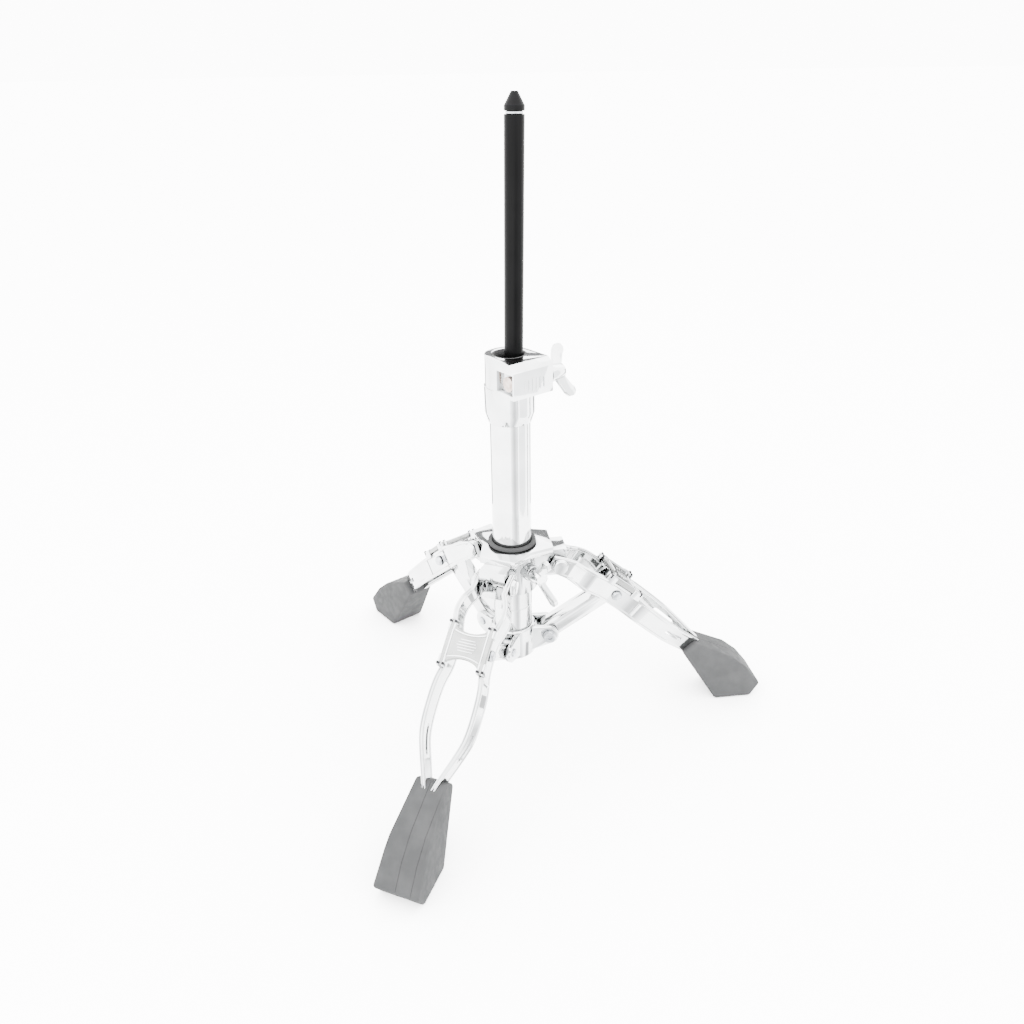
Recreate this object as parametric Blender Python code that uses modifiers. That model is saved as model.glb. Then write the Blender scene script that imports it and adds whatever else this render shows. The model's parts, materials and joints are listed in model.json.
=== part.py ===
"""A double-braced drum-hardware stand base with a gas spring standing in its tube.

Metres, +Z up, floor at z = 0. The origin is below the middle of the footprint, so the tube's axis
stands a little towards +Y. The front leg points along -Y and the other two follow at 120 degrees.
Leg pieces are built in a leg's own frame: X runs outwards from the tube, Y sideways, Z up.
"""

import math

import bmesh
import bpy
from mathutils import Matrix, Vector

# Clearance between pieces that touch
GAP = 0.0003

# Base tube
TUBE_RADIUS = 0.01905
TUBE_WALL = 0.0018
TUBE_BOTTOM = 0.090
TUBE_TOP = 0.384

# Top clamp: a collar round the tube with a lug that holds the draw bolt
CLAMP_ANGLE = -30.0
CLAMP_TOP = TUBE_TOP + 0.014
CLAMP_HEAD_HEIGHT = 0.031
CLAMP_RADIUS = TUBE_RADIUS + 0.00325
CLAMP_LUG_REACH = TUBE_RADIUS + 0.01545
CLAMP_CHAMFER = 0.0065
CLAMP_COLLAR_RADIUS = TUBE_RADIUS + 0.0043
CLAMP_COLLAR_HEIGHT = 0.022
CLAMP_SKIRT_HEIGHT = 0.010
CLAMP_BORE_RADIUS = TUBE_RADIUS - 0.00305
BOLT_X = TUBE_RADIUS + 0.00645
BOLT_Z = CLAMP_TOP - 0.018
BOLT_RADIUS = 0.0035
BOLT_HEAD_RADIUS = 0.0068
BOLT_POCKET = 0.0050
BOLT_POCKET_BACK = 0.0150
BOLT_POCKET_FRONT = 0.0074
BOLT_POCKET_HALF_HEIGHT = 0.0095
SHOE_RADIUS = 0.0055
SLEEVE_WALL = 0.0016
SLEEVE_HEIGHT = 0.0100
NUT_HUB_RADIUS = 0.0085
NUT_HUB_LENGTH = 0.0160
NUT_WING_SPAN = 0.0250
NUT_WING_REACH = 0.0245
NUT_WING_ROOT = 0.0050
NUT_ROLL = 63.0
WING_THICKNESS = 0.0040

# Upper hub, which slides on the tube, in heights below its ring's top
HUB_TOP = 0.210
RING_RADIUS = TUBE_RADIUS + 0.00455
RING_HEIGHT = 0.0040
HUB_PLATE_THICKNESS = 0.0070
HUB_PLATE_REACH = TUBE_RADIUS + 0.01895
HUB_PLATE_HALF_WIDTH = 0.0180
HUB_NOTCH_RADIUS = TUBE_RADIUS + 0.00995
HUB_BLOCK_HALF_WIDTH = 0.0128
HUB_BLOCK_DEPTH = 0.0390
HUB_BARREL_RADIUS = TUBE_RADIUS + 0.00545
HUB_BARREL_DEPTH = 0.0520
HUB_BOSS_ANGLE = -30.0
HUB_BOSS_RADIUS = 0.0085
HUB_BOSS_REACH = TUBE_RADIUS + 0.01445
HUB_SCREW_Z = HUB_TOP - 0.026
HUB_SCREW_RADIUS = 0.0040
HUB_SCREW_WING_SPAN = 0.0270
HUB_SCREW_WING_REACH = 0.0290
HUB_SCREW_WING_ROOT = 0.0010
HUB_SCREW_ROLL = -78.0

# Leg pivot on the upper hub and brace pivots, in the leg's frame. The leg's own tables are drawn
# for a foot that reaches LEG_REACH_DRAWN, with the pivot at PIVOT_DRAWN, and are stretched to fit.
LEG_REACH = 0.268
LEG_REACH_DRAWN = 0.268
PIVOT_DRAWN = 0.045
LEG_PIVOT = Vector((TUBE_RADIUS + 0.02595, 0.0, HUB_TOP - 0.027))
LEG_STRETCH = (LEG_REACH - LEG_PIVOT.x) / (LEG_REACH_DRAWN - PIVOT_DRAWN)
BRACE_FOOT = Vector((TUBE_RADIUS + 0.01595, 0.0, TUBE_BOTTOM + 0.010))
BRACE_HEAD = Vector((LEG_PIVOT.x + 0.058 * LEG_STRETCH, 0.0, 0.1445))
PIN_RADIUS = 0.0040
PIN_HEAD_RADIUS = 0.0085
PIN_HEAD_HEIGHT = 0.0030

# Leg straps
STRAP_THICKNESS = 0.0050
STRAP_END_THICKNESS = 0.0036
STRAP_HUB_OFFSET = 0.0160
STRAP_BULGE_OFFSET = 0.0230
STRAP_PLATE_OFFSET = 0.0178
STRAP_LOOP_OFFSET = 0.0225
STRAP_FOOT_OFFSET = 0.0024
STRAP_HALF_HEIGHT = 0.0116

# Cross plate that joins the straps, and its screws
PLATE_START = 0.0860
PLATE_END = 0.1180
PLATE_HALF_LENGTH = 0.0222
PLATE_HOLLOW = 0.0100
PLATE_THICKNESS = 0.0045
PLATE_SCREW_RADIUS = 0.0026

# Foot: outline in the leg's frame, with a half-width at each point
FOOT_OUTLINE = (
    (0.2115, 0.0610, 0.0165),
    (0.235, 0.0505, 0.0180),
    (0.253, 0.0350, 0.0192),
    (0.268, 0.015, 0.0215),
    (0.258, 0.000, 0.0220),
    (0.218, 0.000, 0.0210),
    (0.1890, 0.0480, 0.0170),
)
FOOT_ROUNDING = 0.0025

# Lower hub
LOWER_HUB_TOP = TUBE_BOTTOM + 0.023
LOWER_HUB_BOTTOM = TUBE_BOTTOM - 0.011
LOWER_HUB_RADIUS = TUBE_RADIUS + 0.00345
EAR_INNER = 0.0096
EAR_THICKNESS = 0.0046
EAR_END_RADIUS = 0.0100
BRACE_HALF_WIDTH = 0.0090
BRACE_HALF_HEIGHT = 0.0080
BRACE_WALL = 0.0022
SOCKET_SCREW_RADIUS = 0.0050

# Gas spring
SPRING_PIVOT_Z = 0.130
SPRING_LEAN = 0.9
SPRING_LEAN_ANGLE = 22.2
SPRING_RADIUS = 0.0085
SPRING_WALL = 0.0015
SPRING_BOTTOM = 0.306
SPRING_SHOULDER = 0.5960
NECK_RADIUS = 0.0072
NECK_HEIGHT = 0.0022
CAP_SKIRT_HEIGHT = 0.0046
CAP_CONE_HEIGHT = 0.0100
CAP_TIP_RADIUS = 0.0028
ROD_RADIUS = 0.0040
PISTON_HEIGHT = 0.0120
PISTON_Z = 0.326
ROD_GUIDE_HEIGHT = 0.0080
PLUG_HEIGHT = 0.0120

SEGMENTS = 40
LEG_ANGLES = {"front": -90.0, "right": 30.0, "left": 150.0}
UP = Vector((0.0, 0.0, 1.0))


def outward(drawn):
    """An outward distance from the leg's tables, stretched to the leg's real pivot and reach."""
    return LEG_PIVOT.x + (drawn - PIVOT_DRAWN) * LEG_STRETCH


def axis_offset():
    """How far the tube's axis stands from the middle of the footprint, along Y."""
    turn = math.radians(60.0)
    front = max(outward(x) for x, _, _ in FOOT_OUTLINE)
    back = max(outward(x) * math.cos(turn) + w * math.sin(turn) for x, _, w in FOOT_OUTLINE)
    return (front - back) / 2


def clear_scene():
    for obj in list(bpy.data.objects):
        bpy.data.objects.remove(obj, do_unlink=True)


def new_collection(name):
    made = bpy.data.collections.new(name)
    bpy.context.scene.collection.children.link(made)
    return made


def new_material(name, colour, roughness, metallic):
    made = bpy.data.materials.new(name)
    made.use_nodes = True
    shader = made.node_tree.nodes["Principled BSDF"]
    shader.inputs["Base Color"].default_value = (*colour, 1.0)
    shader.inputs["Roughness"].default_value = roughness
    shader.inputs["Metallic"].default_value = metallic
    return made


clear_scene()
STAND = new_collection("stand_base")
CUTTERS = new_collection("cutters")
CUTTERS.hide_render = True
CHROME = new_material("chrome", (0.86, 0.87, 0.87), 0.12, 1.0)
STEEL = new_material("steel", (0.55, 0.56, 0.57), 0.30, 1.0)
BRASS = new_material("copper_bolt", (0.50, 0.33, 0.25), 0.35, 1.0)
RUBBER = new_material("rubber", (0.32, 0.32, 0.33), 0.70, 0.0)
NYLON = new_material("nylon", (0.28, 0.28, 0.28), 0.55, 0.0)
BLACK = new_material("black_enamel", (0.02, 0.02, 0.02), 0.30, 0.0)


def empty(name, parent, location, angle=0.0):
    """A guide that other pieces hang from, turned about Z by angle degrees."""
    made = bpy.data.objects.new(name, None)
    STAND.objects.link(made)
    made.parent = parent
    made.location = location
    made.rotation_euler = (0.0, 0.0, math.radians(angle))
    return made


def add(name, mesh, parent, material):
    """A piece of the stand, or a cutter where the material is None."""
    made = bpy.data.objects.new(name, mesh)
    made.parent = parent
    if material is None:
        CUTTERS.objects.link(made)
        made.hide_render = True
        made.display_type = "WIRE"
        return made
    STAND.objects.link(made)
    mesh.materials.append(material)
    mesh.shade_smooth()
    mesh.set_sharp_from_angle(angle=math.radians(35))
    return made


def from_bmesh(name, shape):
    mesh = bpy.data.meshes.new(name)
    bmesh.ops.recalc_face_normals(shape, faces=shape.faces)
    shape.to_mesh(mesh)
    shape.free()
    return mesh


def rod_mesh(name, start, end, radius, end_radius=None, segments=24):
    """A cylinder or cone from start to end."""
    shape = bmesh.new()
    start, end = Vector(start), Vector(end)
    turn = UP.rotation_difference(end - start).to_matrix().to_4x4()
    bmesh.ops.create_cone(
        shape,
        cap_ends=True,
        segments=segments,
        radius1=radius,
        radius2=radius if end_radius is None else end_radius,
        depth=(end - start).length,
        matrix=Matrix.Translation((start + end) / 2) @ turn,
    )
    return from_bmesh(name, shape)


def box_mesh(name, low, high):
    shape = bmesh.new()
    low, high = Vector(low), Vector(high)
    place = Matrix.Translation((low + high) / 2) @ Matrix.Diagonal((*(high - low), 1.0))
    bmesh.ops.create_cube(shape, size=1.0, matrix=place)
    return from_bmesh(name, shape)


def outline_mesh(name, points, low, high, turn=None):
    """A flat outline in XY, thickened from low to high along Z, then turned by a matrix."""
    curve = bpy.data.curves.new(name, "CURVE")
    curve.dimensions = "2D"
    curve.fill_mode = "BOTH"
    curve.extrude = (high - low) / 2
    spline = curve.splines.new("POLY")
    spline.points.add(len(points) - 1)
    for point, (x, y) in zip(spline.points, points):
        point.co = (x, y, 0.0, 1.0)
    spline.use_cyclic_u = True
    guide = bpy.data.objects.new(name, curve)
    STAND.objects.link(guide)
    graph = bpy.context.evaluated_depsgraph_get()
    mesh = bpy.data.meshes.new_from_object(guide.evaluated_get(graph))
    bpy.data.objects.remove(guide)
    shape = bmesh.new()
    shape.from_mesh(mesh)
    bpy.data.meshes.remove(mesh)
    bmesh.ops.remove_doubles(shape, verts=shape.verts, dist=1e-6)
    place = Matrix.Translation((0.0, 0.0, (low + high) / 2))
    bmesh.ops.transform(shape, matrix=(turn or Matrix()) @ place, verts=shape.verts)
    return from_bmesh(name, shape)


def turned(name, profile, parent, material, segments=SEGMENTS):
    """A turned piece: profile lists (radius, height) down the outside, top to bottom, and back."""
    shape = bmesh.new()
    points = [shape.verts.new((radius, 0.0, height)) for radius, height in profile]
    closed = profile[0][0] > 0 or profile[-1][0] > 0
    for first, second in zip(points, points[1:] + points[:1] * closed):
        shape.edges.new((first, second))
    mesh = bpy.data.meshes.new(name)
    shape.to_mesh(mesh)
    shape.free()
    made = add(name, mesh, parent, material)
    screw = made.modifiers.new("turn", "SCREW")
    screw.axis = "Z"
    screw.steps = segments
    screw.render_steps = segments
    screw.use_merge_vertices = True
    screw.merge_threshold = 1e-5
    screw.use_smooth_shade = True
    return made


def cut(obj, cutter, operation="DIFFERENCE"):
    modifier = obj.modifiers.new(cutter.name, "BOOLEAN")
    modifier.operation = operation
    modifier.solver = "EXACT"
    modifier.object = cutter


def bevel(obj, width, segments=1):
    modifier = obj.modifiers.new("rounding", "BEVEL")
    modifier.width = width
    modifier.segments = segments
    modifier.limit_method = "ANGLE"
    modifier.angle_limit = math.radians(40)


def arc(centre, radius, start, end, count):
    """Points along an arc, angles in degrees."""
    angles = [math.radians(start + (end - start) * i / count) for i in range(count + 1)]
    return [(centre[0] + radius * math.cos(a), centre[1] + radius * math.sin(a)) for a in angles]


# Turns an outline drawn in XY so that its X stays, its Y points up and its thickness lies along Y
SIDE_ON = Matrix.Rotation(math.radians(90), 4, "X")
AXIS = empty("tube_axis", None, (0.0, axis_offset(), 0.0))


def build_tube():
    inner = TUBE_RADIUS - TUBE_WALL
    turned(
        "base_tube",
        [(TUBE_RADIUS, TUBE_TOP), (TUBE_RADIUS, TUBE_BOTTOM), (inner, TUBE_BOTTOM), (inner, TUBE_TOP)],
        AXIS,
        CHROME,
    )


def clamp_head_outline(reach):
    """The round collar with its square lug, seen from above."""
    back = arc((0.0, 0.0), CLAMP_RADIUS, 90, 270, 16)
    return back + [(reach, -CLAMP_RADIUS), (reach, CLAMP_RADIUS)]


def build_clamp():
    base = empty("clamp_frame", AXIS, (0.0, 0.0, 0.0), CLAMP_ANGLE)
    head_bottom = CLAMP_TOP - CLAMP_HEAD_HEIGHT
    collar_bottom = head_bottom - CLAMP_COLLAR_HEIGHT
    skirt_bottom = collar_bottom - CLAMP_SKIRT_HEIGHT
    head = outline_mesh("clamp_housing", clamp_head_outline(CLAMP_LUG_REACH), head_bottom, CLAMP_TOP)
    housing = add("clamp_housing", head, base, CHROME)
    collar = turned(
        "collar",
        [
            (0.0, head_bottom + 0.002),
            (CLAMP_COLLAR_RADIUS, head_bottom + 0.002),
            (CLAMP_COLLAR_RADIUS, collar_bottom),
            (TUBE_RADIUS + 0.0016, skirt_bottom),
            (0.0, skirt_bottom),
        ],
        base,
        None,
    )
    cut(housing, collar, "UNION")
    edge = CLAMP_CHAMFER
    front = [
        (CLAMP_LUG_REACH - edge, CLAMP_TOP),
        (CLAMP_LUG_REACH + edge, CLAMP_TOP - 2 * edge),
        (CLAMP_LUG_REACH + edge, CLAMP_TOP + edge),
        (CLAMP_LUG_REACH - edge, CLAMP_TOP + edge),
    ]
    wide = 2 * CLAMP_RADIUS
    chamfer = outline_mesh("lug_chamfer", front, -wide, wide, SIDE_ON)
    cut(housing, add("lug_chamfer", chamfer, base, None))
    cross = rod_mesh("cross_bore", (BOLT_X, -wide, BOLT_Z), (BOLT_X, wide, BOLT_Z), SHOE_RADIUS + GAP)
    cut(housing, add("cross_bore", cross, base, None))
    pocket = box_mesh(
        "bolt_pocket",
        (BOLT_X - BOLT_POCKET_BACK, -wide, BOLT_Z - BOLT_POCKET_HALF_HEIGHT),
        (BOLT_X + BOLT_POCKET_FRONT, BOLT_POCKET - CLAMP_RADIUS, BOLT_Z + BOLT_POCKET_HALF_HEIGHT),
    )
    cut(housing, add("bolt_pocket", pocket, base, None))
    seat = TUBE_TOP + GAP
    socket = TUBE_RADIUS + GAP
    bore = [
        (0.0, CLAMP_TOP + 0.01),
        (CLAMP_BORE_RADIUS, CLAMP_TOP + 0.01),
        (CLAMP_BORE_RADIUS, seat),
        (socket, seat),
        (socket, skirt_bottom - 0.01),
        (0.0, skirt_bottom - 0.01),
    ]
    cut(housing, turned("stepped_bore", bore, base, None))
    build_clamp_inside(base)


def build_clamp_inside(base):
    """The draw bolt, the two shoes that it pulls together, the bore's sleeve and the wing nut."""
    floor = BOLT_POCKET - CLAMP_RADIUS
    nut_start = CLAMP_RADIUS + 0.0015
    nut_end = nut_start + NUT_HUB_LENGTH
    bolt = rod_mesh("draw_bolt", (BOLT_X, floor - 0.001, BOLT_Z), (BOLT_X, nut_end + 0.003, BOLT_Z), BOLT_RADIUS,
                    segments=16)
    bolt = add("draw_bolt", bolt, base, BRASS)
    head = rod_mesh("bolt_head", (BOLT_X, floor - 0.0045, BOLT_Z), (BOLT_X, floor - GAP, BOLT_Z), BOLT_HEAD_RADIUS,
                    segments=20)
    cut(bolt, add("bolt_head", head, base, None), "UNION")
    hole = rod_mesh("bolt_hole", (BOLT_X, -0.04, BOLT_Z), (BOLT_X, 0.06, BOLT_Z), BOLT_RADIUS + GAP, segments=16)
    hole = add("bolt_hole", hole, base, None)
    shoes = {"clamp_shoe_inner": (floor + GAP, -0.001), "clamp_shoe_outer": (0.001, CLAMP_RADIUS)}
    for name, (start, end) in shoes.items():
        mesh = rod_mesh(name, (BOLT_X, start, BOLT_Z), (BOLT_X, end, BOLT_Z), SHOE_RADIUS, segments=20)
        cut(add(name, mesh, base, STEEL), hole)
    outer = CLAMP_BORE_RADIUS - GAP
    low = CLAMP_TOP - SLEEVE_HEIGHT
    ring = [(outer, CLAMP_TOP), (outer, low), (outer - SLEEVE_WALL, low), (outer - SLEEVE_WALL, CLAMP_TOP)]
    turned("bore_sleeve", ring, base, NYLON)
    spin = empty("wing_nut_axis", base, (BOLT_X, nut_start, BOLT_Z))
    hub = rod_mesh("clamp_wing_nut", (0, 0, 0), (0, NUT_HUB_LENGTH, 0), NUT_HUB_RADIUS, NUT_HUB_RADIUS * 0.8)
    nut = add("clamp_wing_nut", hub, spin, CHROME)
    ears = wings("nut_wings", spin, NUT_WING_SPAN, NUT_WING_REACH, NUT_WING_ROOT, NUT_HUB_LENGTH, "Y", NUT_ROLL)
    cut(nut, ears, "UNION")
    thread = rod_mesh("nut_thread", (0, -0.01, 0), (0, 0.03, 0), BOLT_RADIUS + GAP, segments=16)
    cut(nut, add("nut_thread", thread, spin, None))


def wings(name, parent, span, reach, root, hub_length, axis, roll):
    """Two flared ears for a hand screw that points along X or Y, turned by roll about that axis."""
    tip = 0.0055
    half = [(0.002, root), (span - tip, reach - 2.2 * tip)]
    half += arc((span - tip, reach - tip), tip, -60, 150, 6)
    half += [(0.002, hub_length - 0.001)]
    outline = half + [(-x, y) for x, y in reversed(half)]
    mesh = outline_mesh(name, outline, -WING_THICKNESS / 2, WING_THICKNESS / 2)
    turn = Matrix.Rotation(math.radians(roll), 4, "Y")
    if axis == "X":
        turn = Matrix.Rotation(math.radians(-90), 4, "Z") @ turn
    mesh.transform(turn)
    return add(name, mesh, parent, None)


def hub_plate_outline():
    """Three square arms joined by short straight flanks, seen from above."""
    points = []
    for angle in sorted(LEG_ANGLES.values()):
        turn = Matrix.Rotation(math.radians(angle), 2)
        for corner in ((HUB_PLATE_REACH, -HUB_PLATE_HALF_WIDTH), (HUB_PLATE_REACH, HUB_PLATE_HALF_WIDTH)):
            points.append(tuple(turn @ Vector(corner)))
        notch = Matrix.Rotation(math.radians(angle + 60), 2) @ Vector((HUB_NOTCH_RADIUS, 0.0))
        points.append(tuple(notch))
    return points


def build_upper_hub():
    slide = empty("upper_hub_slide", AXIS, (0.0, 0.0, HUB_TOP))
    plate_top = -RING_HEIGHT
    plate_low = plate_top - HUB_PLATE_THICKNESS
    mesh = outline_mesh("upper_hub", hub_plate_outline(), plate_low, plate_top)
    hub = add("upper_hub", mesh, slide, CHROME)
    low = -HUB_BARREL_DEPTH
    barrel = turned(
        "hub_barrel",
        [(0.0, plate_low + 0.002), (HUB_BARREL_RADIUS, plate_low + 0.002), (HUB_BARREL_RADIUS, low), (0.0, low)],
        slide,
        None,
    )
    cut(hub, barrel, "UNION")
    for name, angle in LEG_ANGLES.items():
        arm = empty("hub_arm_" + name, slide, (0.0, 0.0, 0.0), angle)
        half = HUB_BLOCK_HALF_WIDTH
        block = box_mesh(
            "hub_block_" + name,
            (0.005, -half, -HUB_BLOCK_DEPTH),
            (LEG_PIVOT.x + 0.0075, half, plate_low + 0.001),
        )
        cut(hub, add("hub_block_" + name, block, arm, None), "UNION")
    boss_frame = empty("hub_boss_frame", slide, (0.0, 0.0, HUB_SCREW_Z - HUB_TOP), HUB_BOSS_ANGLE)
    boss = rod_mesh("hub_boss", (0.01, 0, 0), (HUB_BOSS_REACH, 0, 0), HUB_BOSS_RADIUS)
    cut(hub, add("hub_boss", boss, boss_frame, None), "UNION")
    bore = rod_mesh("hub_bore", (0, 0, -0.08), (0, 0, 0.02), TUBE_RADIUS + GAP, segments=SEGMENTS)
    cut(hub, add("hub_bore", bore, slide, None))
    thread = rod_mesh("hub_thread", (0.01, 0, 0), (0.05, 0, 0), HUB_SCREW_RADIUS + GAP, segments=16)
    cut(hub, add("hub_thread", thread, boss_frame, None))
    pivots = {}
    for name, angle in LEG_ANGLES.items():
        arm = bpy.data.objects["hub_arm_" + name]
        drop = (LEG_PIVOT.x, 0.0, LEG_PIVOT.z - HUB_TOP)
        pivots[name] = empty("leg_pivot_" + name, arm, drop)
        hole = pin_hole("leg_pin_hole_" + name, pivots[name])
        cut(hub, hole)
        build_leg_pin("leg_pin_" + name, pivots[name])
    inner = TUBE_RADIUS + GAP
    ring = [(RING_RADIUS, 0.0), (RING_RADIUS, plate_top + GAP), (inner, plate_top + GAP), (inner, 0.0)]
    turned("hub_bushing", ring, slide, NYLON)
    start = TUBE_RADIUS + GAP
    spin = empty("hub_screw_axis", boss_frame, (HUB_BOSS_REACH, 0.0, 0.0))
    shaft = rod_mesh("hub_wing_screw", (start - HUB_BOSS_REACH, 0, 0), (0.004, 0, 0), HUB_SCREW_RADIUS, segments=16)
    screw = add("hub_wing_screw", shaft, spin, CHROME)
    knob = rod_mesh("screw_knob", (0.001, 0, 0), (0.013, 0, 0), 0.0078, 0.0066)
    cut(screw, add("screw_knob", knob, spin, None), "UNION")
    span, reach = HUB_SCREW_WING_SPAN, HUB_SCREW_WING_REACH
    ears = wings("screw_wings", spin, span, reach, HUB_SCREW_WING_ROOT, 0.012, "X", HUB_SCREW_ROLL)
    cut(screw, ears, "UNION")
    return pivots


def pin_hole(name, parent):
    reach = STRAP_HUB_OFFSET + 0.02
    mesh = rod_mesh(name, (0, -reach, 0), (0, reach, 0), PIN_RADIUS + GAP, segments=16)
    return add(name, mesh, parent, None)


def build_leg_pin(name, pivot):
    """The bolt through the hub's arm and both straps, with a wide round head at each end."""
    face = STRAP_HUB_OFFSET + STRAP_THICKNESS / 2 + GAP
    pin = add(name, rod_mesh(name, (0, -face, 0), (0, face, 0), PIN_RADIUS, segments=16), pivot, STEEL)
    for side in (-1, 1):
        ends = ((0, side * (face - 0.0001), 0), (0, side * (face + PIN_HEAD_HEIGHT), 0))
        head = rod_mesh(name + "_head", *ends, PIN_HEAD_RADIUS, PIN_HEAD_RADIUS * 0.8)
        cut(pin, add(name + "_head", head, pivot, None), "UNION")


def strap_stations():
    """(outward distance, height, offset from the leg's middle, half height, thickness), hub to foot."""
    full, slim = STRAP_THICKNESS, STRAP_END_THICKNESS
    tall = STRAP_HALF_HEIGHT
    drawn = (
        (0.0370, LEG_PIVOT.z + 0.0040, STRAP_HUB_OFFSET, 0.0075, full),
        (0.0450, LEG_PIVOT.z, STRAP_HUB_OFFSET, 0.0090, full),
        (0.0550, 0.1780, STRAP_HUB_OFFSET, 0.0098, full),
        (0.0585, 0.1760, STRAP_HUB_OFFSET + 0.0010, 0.0100, full),
        (0.0660, 0.1715, STRAP_BULGE_OFFSET - 0.0015, 0.0104, full),
        (0.0750, 0.1655, STRAP_BULGE_OFFSET, tall, full),
        (0.0840, 0.1590, STRAP_BULGE_OFFSET - 0.0020, tall, full),
        (0.0920, 0.1525, STRAP_PLATE_OFFSET + 0.0006, tall, full),
        (0.1030, 0.1435, STRAP_PLATE_OFFSET, tall, full),
        (0.1160, 0.1325, STRAP_PLATE_OFFSET + 0.0008, tall, full),
        (0.1270, 0.1230, STRAP_LOOP_OFFSET - 0.0010, tall, full),
        (0.1400, 0.1115, STRAP_LOOP_OFFSET, 0.0108, full),
        (0.1560, 0.0970, STRAP_LOOP_OFFSET - 0.0008, 0.0106, full),
        (0.1680, 0.0860, STRAP_LOOP_OFFSET - 0.0045, 0.0103, full),
        (0.1920, 0.0628, STRAP_FOOT_OFFSET + 0.0030, 0.0098, 0.0042),
        (0.2010, 0.0540, STRAP_FOOT_OFFSET, 0.0095, slim),
        (0.2160, 0.0395, STRAP_FOOT_OFFSET, 0.0090, slim),
    )
    return [(outward(x), *rest) for x, *rest in drawn]


def strap_mesh(name, side):
    """A bent bar on edge: chamfered sections lofted along the stations."""
    stations = strap_stations()
    shape = bmesh.new()
    rings = []
    for i, (x, z, offset, half, thick) in enumerate(stations):
        before, after = stations[max(i - 1, 0)], stations[min(i + 1, len(stations) - 1)]
        run = Vector((after[0] - before[0], after[2] - before[2], after[1] - before[1]))
        slope = Vector((run.x, 0.0, run.z)).normalized()
        rise = Vector((-slope.z, 0.0, slope.x))
        across = (slope * -run.y + Vector((0.0, 1.0, 0.0)) * Vector((run.x, 0.0, run.z)).length).normalized()
        edge = thick * 0.28
        corners = ((-1, half - edge), (-1, edge - half), (edge * 2 / thick - 1, -half), (1 - edge * 2 / thick, -half))
        corners += ((1, edge - half), (1, half - edge), (1 - edge * 2 / thick, half), (edge * 2 / thick - 1, half))
        centre = Vector((x, offset, z)) - LEG_PIVOT
        ring = [centre + across * (w * thick / 2) + rise * h for w, h in corners]
        rings.append([shape.verts.new((p.x, p.y * side, p.z)) for p in ring])
    for first, second in zip(rings, rings[1:]):
        for j in range(8):
            shape.faces.new((first[j], first[(j + 1) % 8], second[(j + 1) % 8], second[j]))
    shape.faces.new(rings[0])
    shape.faces.new(rings[-1])
    return from_bmesh(name, shape)


def slope_frame(name, pivot, distance):
    """A guide on the straps' middle line at an outward distance, its X running down the leg."""
    stations = strap_stations()
    for (x0, z0, *_), (x1, z1, *_) in zip(stations, stations[1:]):
        if x0 <= distance <= x1:
            part = (distance - x0) / (x1 - x0)
            made = empty(name, pivot, Vector((distance, 0.0, z0 + (z1 - z0) * part)) - LEG_PIVOT)
    head, tail = stations[7], stations[9]
    made.rotation_euler = (0.0, math.atan2(head[1] - tail[1], tail[0] - head[0]), 0.0)
    return made


def plate_offset(end):
    """How far the cross plate's prongs and screws stand from its middle line at the upper (-1) or lower (1) end."""
    return STRAP_PLATE_OFFSET + (0.0014 if end < 0 else 0.0016)


def plate_hollow(end):
    """The half-round hollow between two prongs, from the +Y prong to the -Y prong."""
    wide = plate_offset(end) - STRAP_THICKNESS * 0.36
    angles = [math.radians(90 - 180 * i / 12) for i in range(13)]
    middle = end * PLATE_HALF_LENGTH
    return [(middle - end * PLATE_HOLLOW * math.cos(a), wide * math.sin(a)) for a in angles]


def cross_plate_outline():
    """An X-shaped plate: four prongs round a waisted middle."""
    half, prong = PLATE_HALF_LENGTH, STRAP_THICKNESS * 0.62
    upper, lower = plate_offset(-1), plate_offset(1)
    tip = 0.0022
    side = [(-half, upper + prong - tip), (-half + tip, upper + prong), (-half * 0.50, upper + prong - 0.0002)]
    side += [(half * 0.50, lower + prong - 0.0006), (half - tip, lower + prong), (half, lower + prong - tip)]
    other = [(x, -y) for x, y in reversed(side)]
    return side + plate_hollow(1) + other + plate_hollow(-1)[::-1]


def build_leg(name, pivot):
    straps = {}
    for label, side in (("left", -1), ("right", 1)):
        piece = f"strap_{label}_{name}"
        straps[side] = add(piece, strap_mesh(piece, side), pivot, CHROME)
        cut(straps[side], bpy.data.objects["leg_pin_hole_" + name])
    guide = slope_frame("plate_frame_" + name, pivot, outward((PLATE_START + PLATE_END) / 2))
    low = STRAP_HALF_HEIGHT + 0.0006
    high = low + PLATE_THICKNESS
    mesh = outline_mesh("cross_plate_" + name, cross_plate_outline(), low, high)
    plate = add("cross_plate_" + name, mesh, guide, CHROME)
    for end in (-1, 1):
        for label, side in (("left", -1), ("right", 1)):
            label = f"{'upper' if end < 0 else 'lower'}_{label}_{name}"
            x, y = end * (PLATE_HALF_LENGTH - 0.0045), side * plate_offset(end)
            hole = rod_mesh("hole_" + label, (x, y, low - 0.006), (x, y, high + 0.01), 0.0012 + GAP, segments=12)
            hole = add("hole_" + label, hole, guide, None)
            cut(plate, hole)
            cut(straps[side], hole)
            screw = rod_mesh("plate_screw_" + label, (x, y, low - 0.005), (x, y, high + 0.001), 0.0012, segments=12)
            screw = add("plate_screw_" + label, screw, guide, STEEL)
            head = rod_mesh("head_" + label, (x, y, high + GAP), (x, y, high + 0.0018), PLATE_SCREW_RADIUS, 0.0020,
                            segments=12)
            cut(screw, add("head_" + label, head, guide, None), "UNION")
    joint = empty("brace_head_" + name, pivot, BRACE_HEAD - LEG_PIVOT)
    for label, side in (("left", -1), ("right", 1)):
        build_rivet(f"brace_rivet_{label}_{name}", joint, straps[side], side)
    build_foot(name, pivot)


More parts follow.
